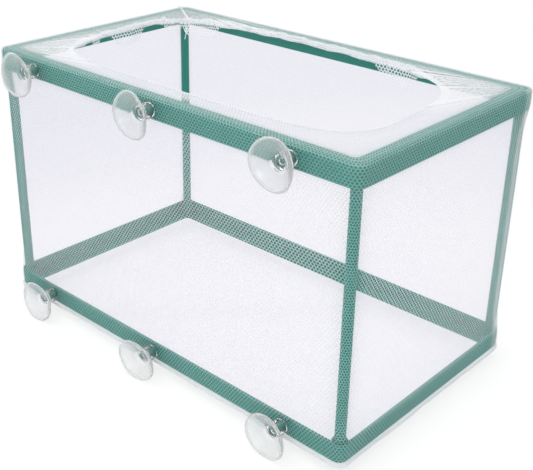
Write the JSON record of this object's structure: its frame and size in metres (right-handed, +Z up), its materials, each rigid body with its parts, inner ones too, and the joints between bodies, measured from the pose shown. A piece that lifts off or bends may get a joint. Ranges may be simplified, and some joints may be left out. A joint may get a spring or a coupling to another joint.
{
  "type": "fish breeding box",
  "caption": "Rectangular net box for keeping fish fry apart in a tank: L-section rings on corner posts, a net bag with an open gathered mouth, and suction cups along one long side.",
  "frame": {"origin": "centre of the underside of the net floor, at the middle of the box's length and depth", "axes": "+X along the box's length to its right, -Y out of the front with the suction cups, +Z up through the mouth"},
  "size_m": [0.26, 0.1633, 0.1676],
  "materials": {
    "frame_plastic": "moulded teal green plastic, satin",
    "net_cloth": "white nylon mesh",
    "elastic": "white covered elastic thread",
    "cup_vinyl": "clear soft vinyl, glossy"
  },
  "bodies": {
    "frame": {"bottom_ring": "frame_plastic", "top_ring": "frame_plastic", "post_front_left": "frame_plastic", "post_front_right": "frame_plastic", "post_back_left": "frame_plastic", "post_back_right": "frame_plastic", "net_floor": "net_cloth", "net_front": "net_cloth", "net_right": "net_cloth", "net_back": "net_cloth", "net_left": "net_cloth", "collar_front": "net_cloth", "collar_right": "net_cloth", "collar_back": "net_cloth", "collar_left": "net_cloth", "hem_elastic": "elastic"},
    "cup_top_left": {"cup_top_left": "cup_vinyl"},
    "cup_top_middle": {"cup_top_middle": "cup_vinyl"},
    "cup_top_right": {"cup_top_right": "cup_vinyl"},
    "cup_bottom_left": {"cup_bottom_left": "cup_vinyl"},
    "cup_bottom_middle": {"cup_bottom_middle": "cup_vinyl"},
    "cup_bottom_right": {"cup_bottom_right": "cup_vinyl"}
  },
  "joints": [
    {"name": "turn_top_left", "type": "hinge", "parent": "frame", "child": "cup_top_left", "pos_m": [-0.093, -0.078, 0.1488], "axis": [0, -1, 0], "continuous": true},
    {"name": "turn_top_middle", "type": "hinge", "parent": "frame", "child": "cup_top_middle", "pos_m": [0.002, -0.078, 0.1488], "axis": [0, -1, 0], "continuous": true},
    {"name": "turn_top_right", "type": "hinge", "parent": "frame", "child": "cup_top_right", "pos_m": [0.093, -0.078, 0.1488], "axis": [0, -1, 0], "continuous": true},
    {"name": "turn_bottom_left", "type": "hinge", "parent": "frame", "child": "cup_bottom_left", "pos_m": [-0.093, -0.078, 0.0062], "axis": [0, -1, 0], "continuous": true},
    {"name": "turn_bottom_middle", "type": "hinge", "parent": "frame", "child": "cup_bottom_middle", "pos_m": [-0.002, -0.078, 0.0062], "axis": [0, -1, 0], "continuous": true},
    {"name": "turn_bottom_right", "type": "hinge", "parent": "frame", "child": "cup_bottom_right", "pos_m": [0.093, -0.078, 0.0062], "axis": [0, -1, 0], "continuous": true}
  ]
}
